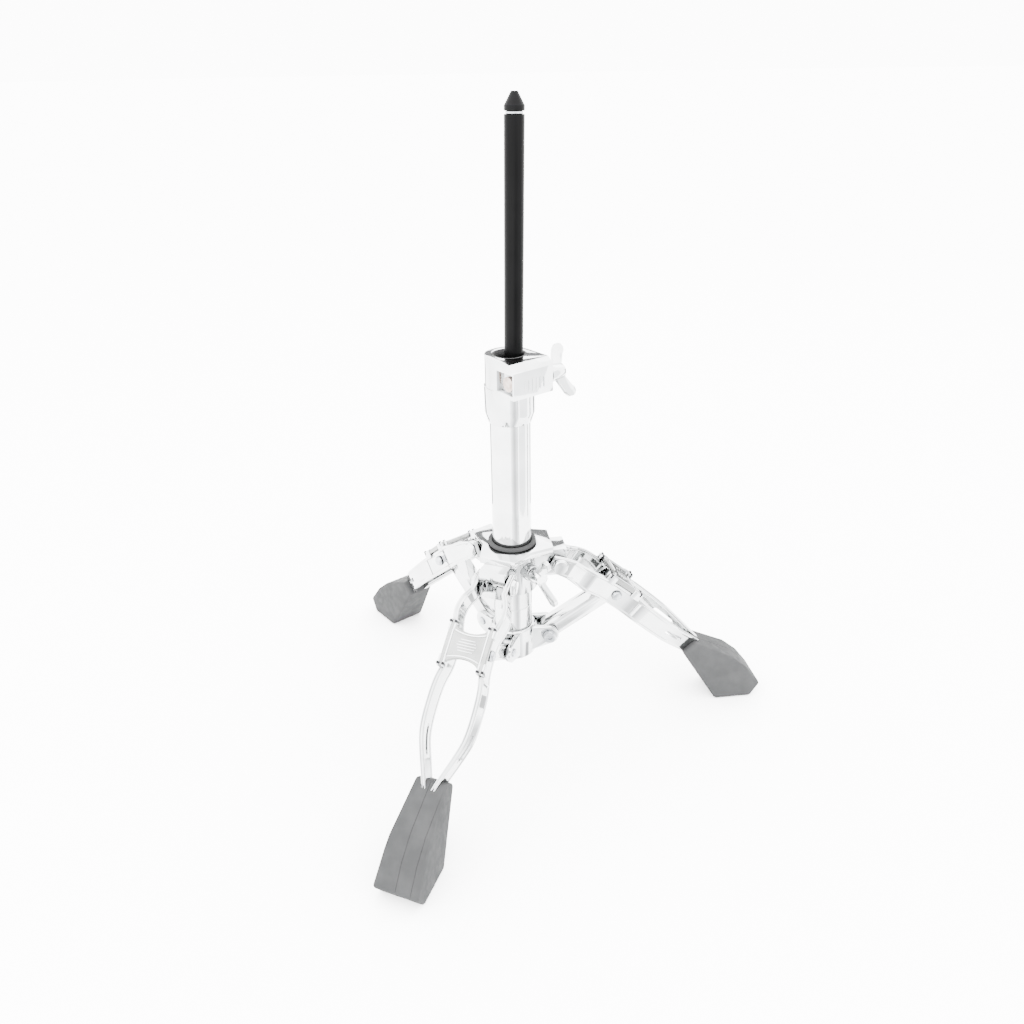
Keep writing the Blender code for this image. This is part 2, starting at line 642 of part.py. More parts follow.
def build_rivet(name, joint, strap, side):
    """A short shouldered rivet through one strap, where the brace's end turns."""
    inner = STRAP_PLATE_OFFSET - STRAP_THICKNESS / 2 - 0.0020
    outer = STRAP_PLATE_OFFSET + STRAP_THICKNESS / 2 + 0.0006
    hole = rod_mesh("hole_" + name, (0, side * (inner - 0.01), 0), (0, side * (outer + 0.01), 0), 0.0030 + GAP,
                    segments=16)
    cut(strap, add("hole_" + name, hole, joint, None))
    rivet = add(name, rod_mesh(name, (0, side * inner, 0), (0, side * outer, 0), 0.0030, segments=16), joint, STEEL)
    head = rod_mesh("head_" + name, (0, side * (outer - 0.0002), 0), (0, side * (outer + 0.0022), 0), 0.0055, 0.0040,
                    segments=20)
    cut(rivet, add("head_" + name, head, joint, None), "UNION")


def build_foot(name, pivot):
    """A wedge-shaped rubber boot with a slot that the straps' ends push into."""
    shape = bmesh.new()
    for x, z, half in FOOT_OUTLINE:
        for side in (-1, 1):
            shape.verts.new(Vector((outward(x), side * half, z)) - LEG_PIVOT)
    bmesh.ops.convex_hull(shape, input=shape.verts)
    bmesh.ops.dissolve_limit(shape, angle_limit=0.02, verts=shape.verts, edges=shape.edges)
    foot = add("foot_" + name, from_bmesh("foot_" + name, shape), pivot, RUBBER)
    bevel(foot, FOOT_ROUNDING, 2)
    end = strap_stations()[-1]
    guide = empty("foot_slot_" + name, pivot, Vector((end[0], 0.0, end[1])) - LEG_PIVOT)
    before = strap_stations()[-2]
    guide.rotation_euler = (0.0, math.atan2(before[1] - end[1], end[0] - before[0]), 0.0)
    wide = STRAP_FOOT_OFFSET + STRAP_END_THICKNESS / 2 + 3 * GAP
    tall = before[3] + 3 * GAP
    slot = box_mesh("slot_" + name, (-0.030, -wide, -tall), (0.001, wide, tall))
    cut(foot, add("slot_" + name, slot, guide, None))
    mouth = box_mesh("slot_mouth_" + name, (-0.050, -wide - 0.0016, -tall - 0.0006), (-0.0185, wide + 0.0016, tall))
    cut(foot, add("slot_mouth_" + name, mouth, guide, None))


def ear_outline():
    """A teardrop arm in side view: a wide root at the tube and a round end at the brace's pivot."""
    root = 0.0150
    height = (LOWER_HUB_TOP + LOWER_HUB_BOTTOM) / 2 + 0.0005
    end = arc((BRACE_FOOT.x, BRACE_FOOT.z), EAR_END_RADIUS, -80, 80, 12)
    return end + [(0.004, height + root), (0.004, height - root)]


def build_lower_hub():
    floor = TUBE_BOTTOM - GAP
    profile = [
        (0.0, LOWER_HUB_TOP),
        (LOWER_HUB_RADIUS - 0.0015, LOWER_HUB_TOP),
        (LOWER_HUB_RADIUS, LOWER_HUB_TOP - 0.0015),
        (LOWER_HUB_RADIUS, LOWER_HUB_BOTTOM + 0.0025),
        (LOWER_HUB_RADIUS - 0.0025, LOWER_HUB_BOTTOM),
        (0.0, LOWER_HUB_BOTTOM),
    ]
    hub = turned("lower_hub", profile, AXIS, CHROME)
    pivots = {}
    for name, angle in LEG_ANGLES.items():
        arm = empty("lower_arm_" + name, AXIS, (0.0, 0.0, 0.0), angle)
        for side in (-1, 1):
            low = side * EAR_INNER if side > 0 else side * (EAR_INNER + EAR_THICKNESS)
            mesh = outline_mesh("ear", ear_outline(), low, low + EAR_THICKNESS, SIDE_ON)
            cut(hub, add(f"ear_{name}_{side}", mesh, arm, None), "UNION")
        pivots[name] = empty("brace_pivot_" + name, arm, BRACE_FOOT)
        reach = EAR_INNER + 0.02
        hole = rod_mesh("hole", (0, -reach, 0), (0, reach, 0), PIN_RADIUS + GAP, segments=16)
        cut(hub, add("brace_pin_hole_" + name, hole, pivots[name], None))
    socket = rod_mesh("socket", (0, 0, floor), (0, 0, LOWER_HUB_TOP + 0.01), TUBE_RADIUS + GAP, segments=SEGMENTS)
    cut(hub, add("lower_socket", socket, AXIS, None))
    for name in LEG_ANGLES:
        build_brace(name, pivots[name])


def build_brace(name, pivot):
    """A folded channel from the lower hub to the leg, and the socket screw that it turns on."""
    run = BRACE_HEAD - BRACE_FOOT
    half, wall = BRACE_HALF_HEIGHT, BRACE_WALL
    outline = arc((0.0, 0.0), half, 90, 270, 8)
    outline += arc((run.length, 0.0), half, -90, 90, 8)
    guide = empty("brace_frame_" + name, pivot, (0.0, 0.0, 0.0))
    guide.rotation_euler = (0.0, -math.atan2(run.z, run.x), 0.0)
    mesh = outline_mesh("brace_" + name, outline, -BRACE_HALF_WIDTH, BRACE_HALF_WIDTH, SIDE_ON)
    brace = add("brace_" + name, mesh, guide, CHROME)
    room = BRACE_HALF_WIDTH - wall
    hollow = box_mesh("hollow", (-0.02, -room, -0.02), (run.length + 0.02, room, half - wall))
    cut(brace, add("brace_hollow_" + name, hollow, guide, None))
    cut(brace, bpy.data.objects["brace_pin_hole_" + name])
    face = EAR_INNER + EAR_THICKNESS + GAP
    screw = rod_mesh("pin", (0, -face - 0.002, 0), (0, face + 0.001, 0), PIN_RADIUS, segments=16)
    screw = add("brace_screw_" + name, screw, pivot, STEEL)
    head = rod_mesh("head", (0, -face, 0), (0, -face - 0.0045, 0), 0.0066, 0.0060)
    cut(screw, add("brace_screw_head_" + name, head, pivot, None), "UNION")
    key = rod_mesh("key", (0, -face - 0.0020, 0), (0, -face - 0.010, 0), 0.0028, segments=6)
    cut(screw, add("brace_screw_key_" + name, key, pivot, None))


def build_gas_spring():
    lean = empty("spring_axis", AXIS, (0.0, 0.0, SPRING_PIVOT_Z))
    turn = math.radians(SPRING_LEAN_ANGLE)
    tilt = Matrix.Rotation(math.radians(SPRING_LEAN), 4, Vector((-math.sin(turn), math.cos(turn), 0.0)))
    lean.rotation_euler = tilt.to_euler()
    shift = -SPRING_PIVOT_Z
    inner = SPRING_RADIUS - SPRING_WALL
    low, top = SPRING_BOTTOM + shift, SPRING_SHOULDER + shift
    neck_top = top + NECK_HEIGHT
    lip = neck_top - 0.0002
    profile = [
        (0.0, lip + 0.004),
        (NECK_RADIUS - 0.0020, lip + 0.004),
        (NECK_RADIUS - 0.0020, top),
        (SPRING_RADIUS - 0.0010, top),
        (SPRING_RADIUS, top - 0.0010),
        (SPRING_RADIUS, low),
        (inner, low),
        (inner, top - 0.012),
        (0.0, top - 0.012),
    ]
    turned("gas_cylinder", profile, lean, BLACK)
    ring_inner = NECK_RADIUS - 0.0020 + GAP
    ring = [(NECK_RADIUS, neck_top), (NECK_RADIUS, top + GAP), (ring_inner, top + GAP), (ring_inner, neck_top)]
    turned("neck_ring", ring, lean, STEEL)
    skirt = neck_top + GAP
    shoulder = skirt + CAP_SKIRT_HEIGHT
    tip = shoulder + CAP_CONE_HEIGHT
    cap = [
        (0.0, tip),
        (CAP_TIP_RADIUS, tip),
        (SPRING_RADIUS - 0.0006, shoulder + 0.0004),
        (SPRING_RADIUS, shoulder - 0.0004),
        (SPRING_RADIUS, skirt + 0.0004),
        (SPRING_RADIUS - 0.0004, skirt),
        (ring_inner, skirt),
        (ring_inner, lip + 0.004 + GAP),
        (0.0, lip + 0.004 + GAP),
    ]
    turned("tip_cone", cap, lean, BLACK)
    guide_outer = inner - GAP
    guide_inner = ROD_RADIUS + GAP
    guide_top = low + ROD_GUIDE_HEIGHT
    guide = [(guide_outer, guide_top), (guide_outer, low), (guide_inner, low), (guide_inner, guide_top)]
    turned("rod_guide", guide, lean, STEEL)
    piston_low = PISTON_Z + shift
    piston_top = piston_low + PISTON_HEIGHT
    bore = ROD_RADIUS - 0.0010
    piston = [(guide_outer, piston_top), (guide_outer, piston_low), (bore + GAP, piston_low), (bore + GAP, piston_top)]
    turned("piston", piston, lean, NYLON)
    plug_top = TUBE_BOTTOM + PLUG_HEIGHT
    rod = [
        (0.0, piston_top + 0.001),
        (bore, piston_top + 0.001),
        (bore, piston_low - GAP),
        (ROD_RADIUS, piston_low - GAP),
        (ROD_RADIUS, plug_top + 0.001 + shift),
        (0.0, plug_top + 0.001 + shift),
    ]
    turned("piston_rod", rod, lean, STEEL, 24)
    outer = TUBE_RADIUS - TUBE_WALL - GAP
    plug = [(0.0, plug_top), (outer, plug_top), (outer, TUBE_BOTTOM + GAP), (0.0, TUBE_BOTTOM + GAP)]
    turned("tube_plug", plug, AXIS, NYLON)


build_tube()
build_clamp()
for leg, leg_pivot in build_upper_hub().items():
    build_leg(leg, leg_pivot)
build_lower_hub()
build_gas_spring()
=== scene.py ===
"""The looks of a double-braced drum-hardware stand base with a gas spring in its tube.

Metres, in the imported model's frame: +Z up, floor at z = 0, the front leg towards -Y. Every piece is
modelled in place, so its object sits at the origin and rides on the CAD body that it belongs to.
"""

import json
import math

import bmesh
import bpy
from mathutils import Matrix, Vector


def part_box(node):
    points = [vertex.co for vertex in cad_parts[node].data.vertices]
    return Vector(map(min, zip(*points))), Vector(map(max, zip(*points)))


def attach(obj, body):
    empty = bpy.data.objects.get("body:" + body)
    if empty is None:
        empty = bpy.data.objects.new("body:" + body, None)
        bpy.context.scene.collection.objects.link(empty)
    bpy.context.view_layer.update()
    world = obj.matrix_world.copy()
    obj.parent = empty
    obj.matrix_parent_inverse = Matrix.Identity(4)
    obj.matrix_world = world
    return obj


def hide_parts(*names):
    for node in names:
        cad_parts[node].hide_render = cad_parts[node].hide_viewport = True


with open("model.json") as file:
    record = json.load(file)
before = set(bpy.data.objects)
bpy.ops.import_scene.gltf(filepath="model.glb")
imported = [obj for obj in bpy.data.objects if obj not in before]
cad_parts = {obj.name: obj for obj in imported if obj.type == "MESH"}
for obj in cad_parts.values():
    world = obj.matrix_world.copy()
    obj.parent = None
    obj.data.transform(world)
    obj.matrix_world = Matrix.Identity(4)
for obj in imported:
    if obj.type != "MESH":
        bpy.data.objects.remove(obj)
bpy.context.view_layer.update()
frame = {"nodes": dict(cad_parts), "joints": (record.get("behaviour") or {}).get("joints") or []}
NODES = frame["nodes"]
LEG_ANGLES = {"front": -90.0, "right": 30.0, "left": 150.0}
UP = Vector((0.0, 0.0, 1.0))
# Sizes read from the frame
TUBE_LOW, TUBE_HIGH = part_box("base_tube")
AXIS_Y = (TUBE_LOW.y + TUBE_HIGH.y) / 2
TUBE_RADIUS = (TUBE_HIGH.x - TUBE_LOW.x) / 2
RING_LOW, RING_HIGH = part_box("hub_bushing")
HUB_TOP = RING_HIGH.z
RING_RADIUS = (RING_HIGH.x - RING_LOW.x) / 2
CLAMP_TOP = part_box("clamp_housing")[1].z
TO_AXIS = Matrix.Translation((0.0, AXIS_Y, 0.0))
TO_CLAMP = TO_AXIS @ Matrix.Rotation(math.radians(-30.0), 4, "Z")
TO_LEG = {name: TO_AXIS @ Matrix.Rotation(math.radians(angle), 4, "Z") for name, angle in LEG_ANGLES.items()}

# The gas spring leans from a pivot low in the tube; its heights count from the floor, along its axis
SPRING_AXIS = Vector(next(j for j in frame["joints"] if j["name"] == "gas_spring_slide")["axis"]).normalized()
SPRING_PIVOT = Vector((0.0, AXIS_Y, 0.130))
TO_SPRING = Matrix.Translation(SPRING_PIVOT) @ UP.rotation_difference(SPRING_AXIS).to_matrix().to_4x4()
SPRING_RADIUS = 0.0085
SPRING_LOW = 0.306
SPRING_SHOULDER = 0.596

# Tube
TUBE_WALL = 0.0018
TUBE_GROOVE_MIDDLE = 0.1370
TUBE_GROOVE_DEPTH = 0.0004

# Straps in a leg's frame, as in the CAD. Each row of the route: outward, up, off the leg's middle, half
# height, thickness
STRAP_THICKNESS = 0.0050
STRAP_HALF_HEIGHT = 0.0116
WEB_SHARE = 0.36
STRAP_ROUTE = (
    (0.0370, 0.1870, 0.0160, 0.0078, 0.0050),
    (0.0450, 0.1830, 0.0160, 0.0092, 0.0050),
    (0.0550, 0.1780, 0.0160, 0.0099, 0.0050),
    (0.0585, 0.1760, 0.0170, 0.0101, 0.0050),
    (0.0660, 0.1715, 0.0212, 0.0105, 0.0050),
    (0.0750, 0.1655, 0.0230, 0.0114, 0.0050),
    (0.0840, 0.1590, 0.0212, 0.0116, 0.0050),
    (0.0920, 0.1525, 0.0184, 0.0116, 0.0050),
    (0.1030, 0.1435, 0.0178, 0.0116, 0.0050),
    (0.1160, 0.1325, 0.0186, 0.0116, 0.0050),
    (0.1270, 0.1230, 0.0215, 0.0114, 0.0050),
    (0.1400, 0.1115, 0.0225, 0.0110, 0.0050),
    (0.1560, 0.0970, 0.0218, 0.0107, 0.0050),
    (0.1680, 0.0860, 0.0182, 0.0103, 0.0048),
    (0.1920, 0.0628, 0.0054, 0.0098, 0.0042),
    (0.2010, 0.0540, 0.0024, 0.0095, 0.0036),
    (0.2160, 0.0395, 0.0024, 0.0090, 0.0036),
)

# Below the cross plate: a slot through each strap, and a pressed band on it
SLOT_START = 0.1575
SLOT_LENGTH = 0.0215
SLOT_RADIUS = 0.0024
BAND_MIDDLE = 0.1225
BAND_OFFSET = 0.0203

# Cross plates, along the leg's slope; the prongs' offsets are those of the plate's upper and lower end
PLATE_MIDDLE = 0.1020
PLATE_HALF_LENGTH = 0.0222
PLATE_HOLLOW = 0.0100
PLATE_LOW = STRAP_HALF_HEIGHT + 0.0006
PLATE_THICKNESS = 0.0045
PRONG_OFFSETS = {-1: 0.0192, 1: 0.0194}
PRONG_LENGTH = 0.0105
PIN_RADIUS = 0.0014
PIN_SPREAD = 0.0026
PIN_DEPTH = 0.0030
PIN_RISE = 0.0014
RIB_PITCH = 0.0026

# Boots: each corner of the side outline is outward, up, half width
FOOT_OUTLINE = (
    (0.1930, 0.0715, 0.0150),
    (0.2350, 0.0505, 0.0180),
    (0.2530, 0.0350, 0.0192),
    (0.2680, 0.0150, 0.0215),
    (0.258, 0.000, 0.0220),
    (0.218, 0.000, 0.0210),
    (0.1800, 0.0605, 0.0150),
)
TREAD_DEPTH = 0.0022
CROSS_TREAD_DEPTH = 0.0020
TREAD_HALF_WIDTH = 0.0012

# Ribs on the clamp's front face, in the clamp's frame
CLAMP_FRONT = 0.0345
CLAMP_RIB_PITCH = 0.0042

# Camera, with its place measured from the tube's axis and its angles in degrees
CAMERA_LENS = 30.87
CAMERA_SENSOR = 36.0
CAMERA_SHIFT = (0.001, -0.036)
CAMERA_PLACE = (0.2862, -0.7006, 0.6310)
CAMERA_HEADING = 22.22
CAMERA_DOWN = 25.01
CAMERA_ROLL = -0.93

# The white studio's radiance, and its grey front panel: width and radiance of each of its nested layers
STUDIO_LIGHT = 12.0
GREY_HEADING = -46.0
GREY_LAYERS = ((0.36, 9.0), (0.29, 7.4), (0.22, 5.8), (0.15, 4.6), (0.08, 3.6))
CARD_HEIGHT = 0.0008
FLOOR_RADIUS = 90.0
FLOOR_DROP = 0.0004

# ---------------------------------------------------------------- camera, light and floor


def build_camera():
    """The camera that frames the part as it stands at rest."""
    data = bpy.data.cameras.new("camera")
    data.lens = CAMERA_LENS
    data.sensor_width = CAMERA_SENSOR
    data.shift_x, data.shift_y = CAMERA_SHIFT
    camera = bpy.data.objects.new("camera", data)
    bpy.context.scene.collection.objects.link(camera)
    heading = Matrix.Rotation(math.radians(CAMERA_HEADING), 4, "Z")
    tilt = Matrix.Rotation(math.radians(90.0 - CAMERA_DOWN), 4, "X")
    roll = Matrix.Rotation(math.radians(CAMERA_ROLL), 4, "Z")
    x, y, z = CAMERA_PLACE
    place = Matrix.Translation((x, AXIS_Y + y, z))
    camera.matrix_world = place @ heading @ tilt @ roll
    bpy.context.scene.camera = camera


def area_light(name, location, target, size, power):
    """A soft rectangular light turned towards its target."""
    data = bpy.data.lights.new(name, "AREA")
    data.shape = "RECTANGLE"
    data.size, data.size_y = size
    data.energy = power
    light = bpy.data.objects.new(name, data)
    light.location = location
    light.rotation_euler = (Vector(target) - Vector(location)).to_track_quat("-Z", "Y").to_euler()
    bpy.context.scene.collection.objects.link(light)


def build_world():
    """A white studio, a little brighter overhead."""
    world = bpy.data.worlds.new("studio")
    bpy.context.scene.world = world
    world.use_nodes = True
    tree = world.node_tree
    tree.nodes.clear()
    out = tree.nodes.new("ShaderNodeOutputWorld")
    shader = tree.nodes.new("ShaderNodeBackground")
    place = tree.nodes.new("ShaderNodeTexCoord")
    parts = tree.nodes.new("ShaderNodeSeparateXYZ")
    height = tree.nodes.new("ShaderNodeMapRange")
    height.inputs["From Min"].default_value = 0.05
    height.inputs["From Max"].default_value = 1.0
    height.inputs["To Min"].default_value = STUDIO_LIGHT
    height.inputs["To Max"].default_value = STUDIO_LIGHT * 1.15
    shader.inputs["Color"].default_value = (1.0, 1.0, 1.0, 1.0)
    tree.links.new(place.outputs["Generated"], parts.inputs["Vector"])
    tree.links.new(parts.outputs["Z"], height.inputs["Value"])
    tree.links.new(height.outputs["Result"], shader.inputs["Strength"])
    tree.links.new(shader.outputs["Background"], out.inputs["Surface"])


def reflection_only(name, corners, light):
    """A flat panel that only polished surfaces see."""
    shape = bmesh.new()
    shape.faces.new([shape.verts.new(corner) for corner in corners])
    mesh = bpy.data.meshes.new(name)
    shape.to_mesh(mesh)
    shape.free()
    card = bpy.data.objects.new(name, mesh)
    bpy.context.scene.collection.objects.link(card)
    made = bpy.data.materials.new(name)
    made.use_nodes = True
    tree = made.node_tree
    tree.nodes.clear()
    glow = tree.nodes.new("ShaderNodeEmission")
    glow.inputs["Color"].default_value = (light, light * 1.01, light * 1.02, 1.0)
    glow.inputs["Strength"].default_value = 1.0
    out = tree.nodes.new("ShaderNodeOutputMaterial")
    tree.links.new(glow.outputs["Emission"], out.inputs["Surface"])
    mesh.materials.append(made)
    card.visible_camera = False
    card.visible_diffuse = False
    card.visible_shadow = False
    return card


def reflection_card(name, heading, reach, width, low, high, light):
    """An upright panel facing the tube from a heading in degrees."""
    half = width / 2
    corners = ((reach, -half, low), (reach, half, low), (reach, half, high), (reach, -half, high))
    card = reflection_only(name, corners, light)
    card.matrix_world = TO_AXIS @ Matrix.Rotation(math.radians(heading), 4, "Z")


def floor_card(name, heading, near, far, near_width, far_width, height, light):
    """A panel lying on the floor between two reaches from the tube."""
    near_half, far_half = near_width / 2, far_width / 2
    corners = (
        (near, -near_half, height),
        (far, -far_half, height),
        (far, far_half, height),
        (near, near_half, height),
    )
    card = reflection_only(name, corners, light)
    card.matrix_world = TO_AXIS @ Matrix.Rotation(math.radians(heading), 4, "Z")


def build_floor():
    """A plain pale floor, just under the boots and out to the horizon."""
    shape = bmesh.new()
    bmesh.ops.create_circle(shape, cap_ends=True, segments=96, radius=FLOOR_RADIUS)
    mesh = bpy.data.meshes.new("floor")
    shape.to_mesh(mesh)
    shape.free()
    floor = bpy.data.objects.new("floor", mesh)
    bpy.context.scene.collection.objects.link(floor)
    floor.location.z = -FLOOR_DROP
    made = bpy.data.materials.new("floor")
    made.use_nodes = True
    shader = made.node_tree.nodes["Principled BSDF"]
    shader.inputs["Base Color"].default_value = (0.97, 0.97, 0.97, 1.0)
    shader.inputs["Roughness"].default_value = 0.95
    shader.inputs["Specular IOR Level"].default_value = 0.1
    mesh.materials.append(made)


def build_lights():
    """Three soft lights: place, target, size and watts."""
    area_light("key", (-0.9, -1.3, 1.7), (0.0, 0.0, 0.2), (1.6, 1.6), 40.0)
    area_light("fill", (1.5, -0.6, 1.1), (0.0, 0.0, 0.25), (1.2, 1.6), 14.0)
    area_light("back", (0.2, 1.6, 1.6), (0.0, 0.0, 0.3), (2.0, 1.0), 20.0)


def build_cards():
    """The grey and dark panels that the plating mirrors as its bands and edges."""
    for step, (width, light) in enumerate(GREY_LAYERS):
        heading, height = GREY_HEADING + step, 0.0010 + step * 0.0002
        reflection_card(f"grey_front_{step}", GREY_HEADING, 0.47 - step * 0.004, width, 0.0, 0.60, light)
        floor_card(f"grey_floor_{step}", heading, 0.06, 0.46, width * 0.18, width, height, light)
    reflection_card("dark_line", -30.0, 0.445, 0.012, 0.0, 0.60, 0.8)
    reflection_card("grey_side", 0.0, 0.47, 0.36, 0.0, 0.60, 8.0)
    reflection_card("dark_side", 40.0, 0.46, 0.050, 0.0, 0.45, 0.5)
    reflection_card("dark_rear", 150.0, 0.50, 0.140, 0.0, 0.30, 0.5)
    reflection_card("dark_back", 75.0, 0.50, 0.140, 0.0, 0.30, 0.5)
    floor_card("dark_floor_front", -62.0, 0.06, 0.17, 0.03, 0.05, CARD_HEIGHT, 1.6)
    floor_card("dark_floor_left", -132.0, 0.05, 0.18, 0.04, 0.08, CARD_HEIGHT, 1.6)
    floor_card("dark_floor_right", 4.0, 0.06, 0.16, 0.03, 0.05, CARD_HEIGHT, 2.4)
    floor_card("dark_floor_back", 92.0, 0.05, 0.26, 0.04, 0.12, CARD_HEIGHT, 0.8)
    reflection_card("grey_back", 112.0, 1.8, 1.8, 0.58, 1.01, 0.7)


# ---------------------------------------------------------------- materials


class Shading:
    """A Principled material whose roughness, colour and bump vary over the surface."""

    def __init__(self, name, metallic=0.0):
        self.made = bpy.data.materials.new(name)
        self.made.use_nodes = True
        self.tree = self.made.node_tree
        self.shader = self.tree.nodes["Principled BSDF"]
        self.shader.inputs["Metallic"].default_value = metallic
        self.place = self.tree.nodes.new("ShaderNodeTexCoord").outputs["Object"]

    def noise(self, scale, detail=3.0, stretch=None):
        node = self.tree.nodes.new("ShaderNodeTexNoise")
        node.inputs["Scale"].default_value = scale
        node.inputs["Detail"].default_value = detail
        source = self.place
        if stretch:
            mapping = self.tree.nodes.new("ShaderNodeMapping")
            mapping.inputs["Scale"].default_value = stretch
            self.tree.links.new(self.place, mapping.inputs["Vector"])
            source = mapping.outputs["Vector"]
        self.tree.links.new(source, node.inputs["Vector"])
        return node.outputs["Fac"]

    def ramp(self, value, low, high, start=0.35, end=0.65):
        node = self.tree.nodes.new("ShaderNodeMapRange")
        node.inputs["From Min"].default_value = start
        node.inputs["From Max"].default_value = end
        node.inputs["To Min"].default_value = low
        node.inputs["To Max"].default_value = high
        self.tree.links.new(value, node.inputs["Value"])
        return node.outputs["Result"]

    def colours(self, value, low, high, start=0.35, end=0.65):
        node = self.tree.nodes.new("ShaderNodeValToRGB")
        node.color_ramp.elements[0].position = start
        node.color_ramp.elements[0].color = (*low, 1.0)
        node.color_ramp.elements[1].position = end
        node.color_ramp.elements[1].color = (*high, 1.0)
        self.tree.links.new(value, node.inputs["Fac"])
        self.tree.links.new(node.outputs["Color"], self.shader.inputs["Base Color"])

    def painted_crevice_shade(self, reach, floor):
        """Paints shade into the base colour: darkens it where another surface stands closer than reach."""
        tree = self.tree
        base = self.shader.inputs["Base Color"]
        source = base.links[0].from_socket
        # Painted shade: ambient occlusion darkens the base colour in crevices and between parts
        near = tree.nodes.new("ShaderNodeAmbientOcclusion")
        near.samples = 6
        near.inputs["Distance"].default_value = reach
        tone = self.ramp(near.outputs["AO"], floor, 1.0, 0.20, 0.80)
        mix = tree.nodes.new("ShaderNodeMix")
        mix.data_type = "RGBA"
        mix.blend_type = "MULTIPLY"
        mix.inputs["Factor"].default_value = 1.0
        tree.links.new(source, mix.inputs[6])
        tree.links.new(tone, mix.inputs[7])
        tree.links.new(mix.outputs[2], base)

    def roughness(self, value, low, high):
        self.tree.links.new(self.ramp(value, low, high), self.shader.inputs["Roughness"])

    def bump(self, value, strength, distance):
        node = self.tree.nodes.new("ShaderNodeBump")
        node.inputs["Strength"].default_value = strength
        node.inputs["Distance"].default_value = distance
        self.tree.links.new(value, node.inputs["Height"])
        self.tree.links.new(node.outputs["Normal"], self.shader.inputs["Normal"])


def chrome(name, low, high, rough_low, rough_high):
    """Polished plating: faint cloudiness, painted shade that darkens its crevices, fine handling marks and a
    slight ripple.
    """
    shading = Shading(name, metallic=1.0)
    shading.colours(shading.noise(38.0, 4.0), low, high)
    # Painted shade: the base colour darkens in crevices and where parts stand close
    shading.painted_crevice_shade(0.0070, 0.20)
    shading.roughness(shading.noise(260.0, 5.0, (1.0, 1.0, 0.25)), rough_low, rough_high)
    shading.bump(shading.noise(150.0, 2.0), 0.12, 0.0003)
    return shading.made


def rubber(name, low, high):
    """Matt moulded rubber: dusty patches and a fine pebble."""
    shading = Shading(name)
    shading.colours(shading.noise(55.0, 5.0), low, high)
    shading.roughness(shading.noise(140.0, 4.0), 0.62, 0.82)
    shading.bump(shading.noise(1900.0, 3.0), 0.35, 0.0002)
    shading.shader.inputs["Specular IOR Level"].default_value = 0.06
    return shading.made


def enamel(name, low, high, rough_low, rough_high):
    """Black lacquer or moulded plastic with fine rubbing along its length."""
    shading = Shading(name)
    shading.colours(shading.noise(30.0, 3.0), low, high)
    shading.roughness(shading.noise(420.0, 5.0, (1.0, 1.0, 0.06)), rough_low, rough_high)
    shading.bump(shading.noise(700.0, 3.0, (1.0, 1.0, 0.1)), 0.10, 0.0001)
    shading.shader.inputs["Specular IOR Level"].default_value = 0.03
    return shading.made


def worn_metal(name, low, high, rough_low, rough_high):
    """Zinc, copper or blackened steel with a drifting tone."""
    shading = Shading(name, metallic=1.0)
    shading.colours(shading.noise(180.0, 5.0), low, high)
    shading.roughness(shading.noise(320.0, 4.0), rough_low, rough_high)
    shading.bump(shading.noise(900.0, 3.0), 0.15, 0.0001)
    return shading.made


MATERIALS = {
    "chrome": chrome("chrome_plate", (0.44, 0.447, 0.447), (0.52, 0.527, 0.527), 0.04, 0.09),
    "cast_chrome": chrome("cast_chrome_plate", (0.40, 0.407, 0.41), (0.49, 0.497, 0.50), 0.05, 0.09),
    "satin_face": chrome("satin_chrome_face", (0.145, 0.147, 0.144), (0.190, 0.192, 0.188), 0.22, 0.32),
    "steel": worn_metal("zinc_steel", (0.26, 0.27, 0.285), (0.36, 0.37, 0.385), 0.22, 0.38),
    "dark_steel": worn_metal("dark_screws", (0.006, 0.006, 0.0065), (0.014, 0.014, 0.015), 0.35, 0.50),
    "copper_bolt": worn_metal("copper_end", (0.21, 0.165, 0.145), (0.34, 0.29, 0.265), 0.30, 0.48),
    "foot_rubber": rubber("boot_rubber", (0.0200, 0.0204, 0.0208), (0.0250, 0.0254, 0.0258)),
    "ring_rubber": rubber("ring_rubber", (0.0165, 0.0168, 0.0171), (0.0205, 0.0208, 0.0211)),
    "nylon": rubber("inner_nylon", (0.018, 0.018, 0.0183), (0.024, 0.024, 0.0243)),
    "black_enamel": enamel("black_lacquer", (0.0006, 0.0006, 0.00065), (0.0010, 0.0010, 0.00105), 0.30, 0.40),
    "black_plastic": enamel("black_plastic", (0.0012, 0.0012, 0.0013), (0.0020, 0.0020, 0.0021), 0.38, 0.50),
}

# ---------------------------------------------------------------- mesh tools


def finish_piece(shape, name, matrix, body, material, replaces=(), sharp=38.0):
    """Makes a piece of a bmesh, in place, riding on its body."""
    bmesh.ops.transform(shape, matrix=matrix, verts=shape.verts)
    bmesh.ops.recalc_face_normals(shape, faces=shape.faces)
    mesh = bpy.data.meshes.new(name)
    shape.to_mesh(mesh)
    shape.free()
    mesh.shade_smooth()
    mesh.set_sharp_from_angle(angle=math.radians(sharp))
    mesh.materials.append(MATERIALS[material])
    made = bpy.data.objects.new(name, mesh)
    bpy.context.scene.collection.objects.link(made)
    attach(made, body)
    if replaces:
        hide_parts(*replaces)


def lathe(profile, steps=96):
    """A turned solid: profile lists (radius, height); it closes on itself, or on the axis."""
    shape = bmesh.new()
    rings = []
    for radius, height in profile:
        if radius < 1e-7:
            rings.append([shape.verts.new((0.0, 0.0, height))] * steps)
            continue
        turns = [2 * math.pi * i / steps for i in range(steps)]
        rings.append([shape.verts.new((radius * math.cos(t), radius * math.sin(t), height)) for t in turns])
    closed = profile[0][0] > 0 or profile[-1][0] > 0
    for first, second in zip(rings, rings[1:] + rings[:1] * closed):
        for i in range(steps):
            j = (i + 1) % steps
            corners = list(dict.fromkeys((first[i], first[j], second[j], second[i])))
            shape.faces.new(corners)
    return shape


